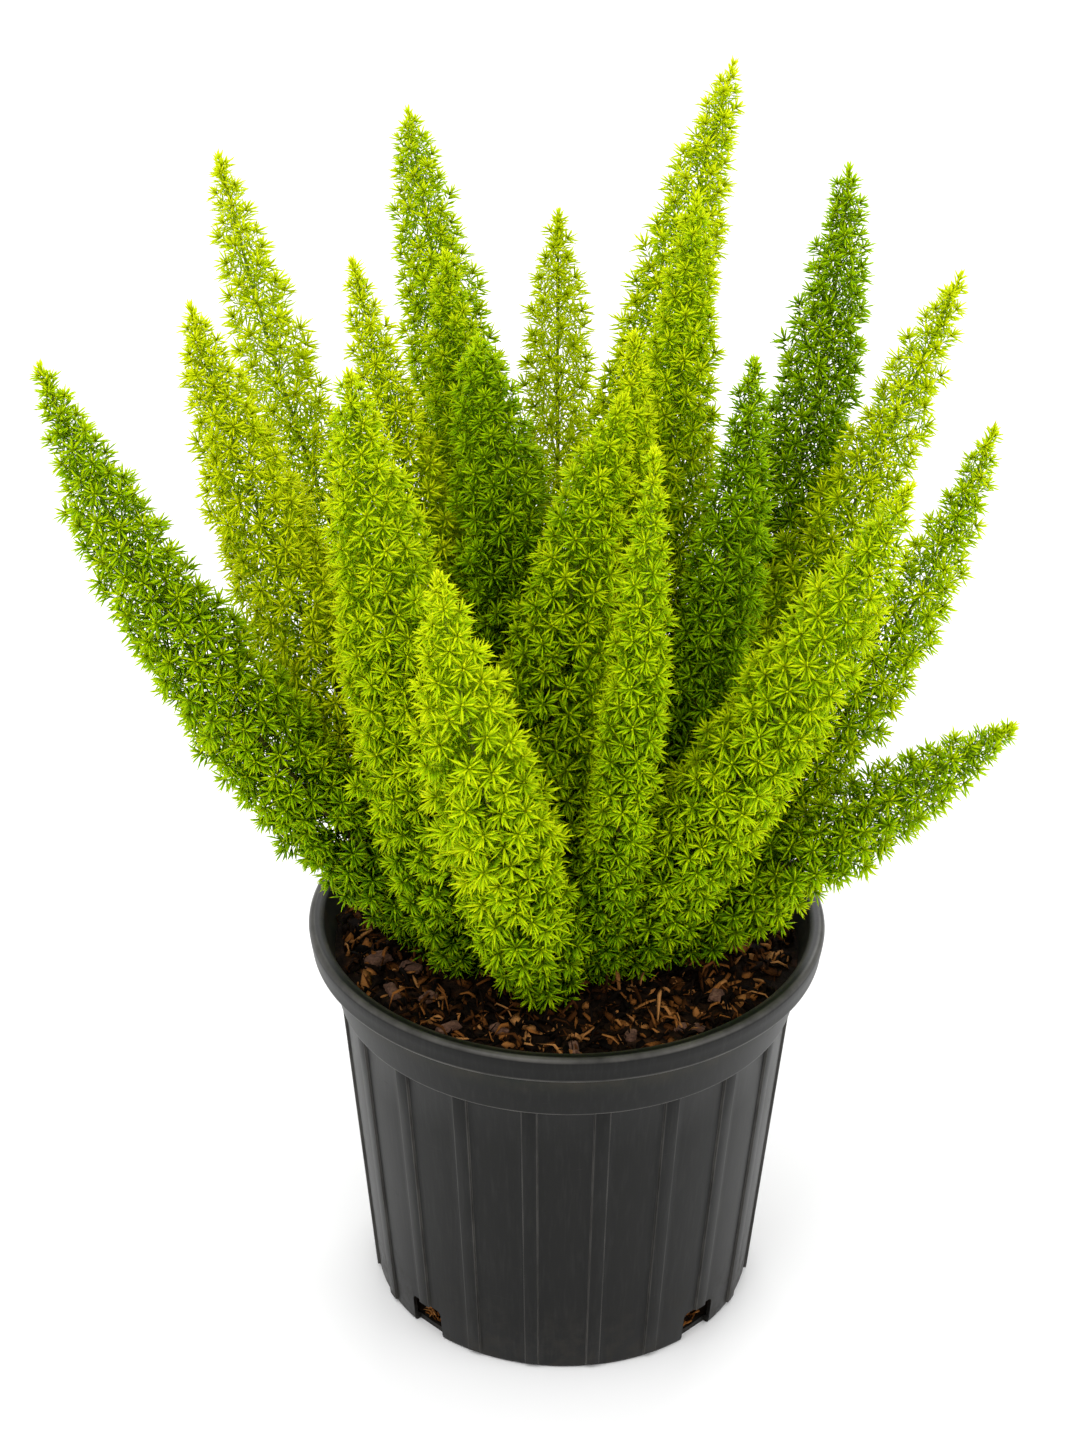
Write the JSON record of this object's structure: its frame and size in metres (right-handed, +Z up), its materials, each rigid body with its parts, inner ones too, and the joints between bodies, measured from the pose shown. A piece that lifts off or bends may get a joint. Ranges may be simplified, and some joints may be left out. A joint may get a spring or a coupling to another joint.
{
  "type": "potted foxtail fern",
  "caption": "Foxtail fern with upright bottle-brush plumes, growing from a root crown in bark mix in a ribbed black nursery pot.",
  "frame": {"origin": "middle of the pot's flat underside", "axes": "+Z up out of the pot, +X to the right and -Y to the front, the side seen first"},
  "size_m": [0.4412, 0.2835, 0.5991],
  "materials": {
    "pot_plastic": "satin",
    "bark_mix": "matte",
    "root_wood": "matte",
    "stem_green": "satin",
    "foliage_bright": "satin",
    "foliage_mid": "satin",
    "foliage_deep": "satin",
    "bark_chip": "matte"
  },
  "bodies": {
    "root": {"nursery_pot": "pot_plastic", "potting_mix": "bark_mix", "root_crown": "root_wood", "stem_01": "stem_green", "stem_02": "stem_green", "stem_03": "stem_green", "stem_04": "stem_green", "stem_05": "stem_green", "stem_06": "stem_green", "stem_07": "stem_green", "stem_08": "stem_green", "stem_09": "stem_green", "stem_10": "stem_green", "stem_11": "stem_green", "stem_12": "stem_green", "stem_13": "stem_green", "stem_14": "stem_green", "stem_15": "stem_green", "stem_16": "stem_green", "stem_17": "stem_green", "stem_18": "stem_green", "stem_19": "stem_green", "stem_20": "stem_green", "stem_21": "stem_green", "plume_01": "foliage_mid", "plume_02": "foliage_bright", "plume_03": "foliage_bright", "plume_04": "foliage_bright", "plume_05": "foliage_bright", "plume_06": "foliage_bright", "plume_07": "foliage_mid", "plume_08": "foliage_mid", "plume_09": "foliage_deep", "plume_10": "foliage_mid", "plume_11": "foliage_bright", "plume_12": "foliage_mid", "plume_13": "foliage_bright", "plume_14": "foliage_mid", "plume_15": "foliage_bright", "plume_16": "foliage_deep", "plume_17": "foliage_deep", "plume_18": "foliage_bright", "plume_19": "foliage_bright", "plume_20": "foliage_mid", "plume_21": "foliage_mid", "bark_chip_01": "bark_chip", "bark_chip_02": "bark_chip", "bark_chip_03": "bark_chip", "bark_chip_04": "bark_chip", "bark_chip_05": "bark_chip", "bark_chip_06": "bark_chip", "bark_chip_07": "bark_chip", "bark_chip_08": "bark_chip", "bark_chip_09": "bark_chip", "bark_chip_10": "bark_chip", "bark_chip_11": "bark_chip", "bark_chip_12": "bark_chip"}
  },
  "joints": []
}
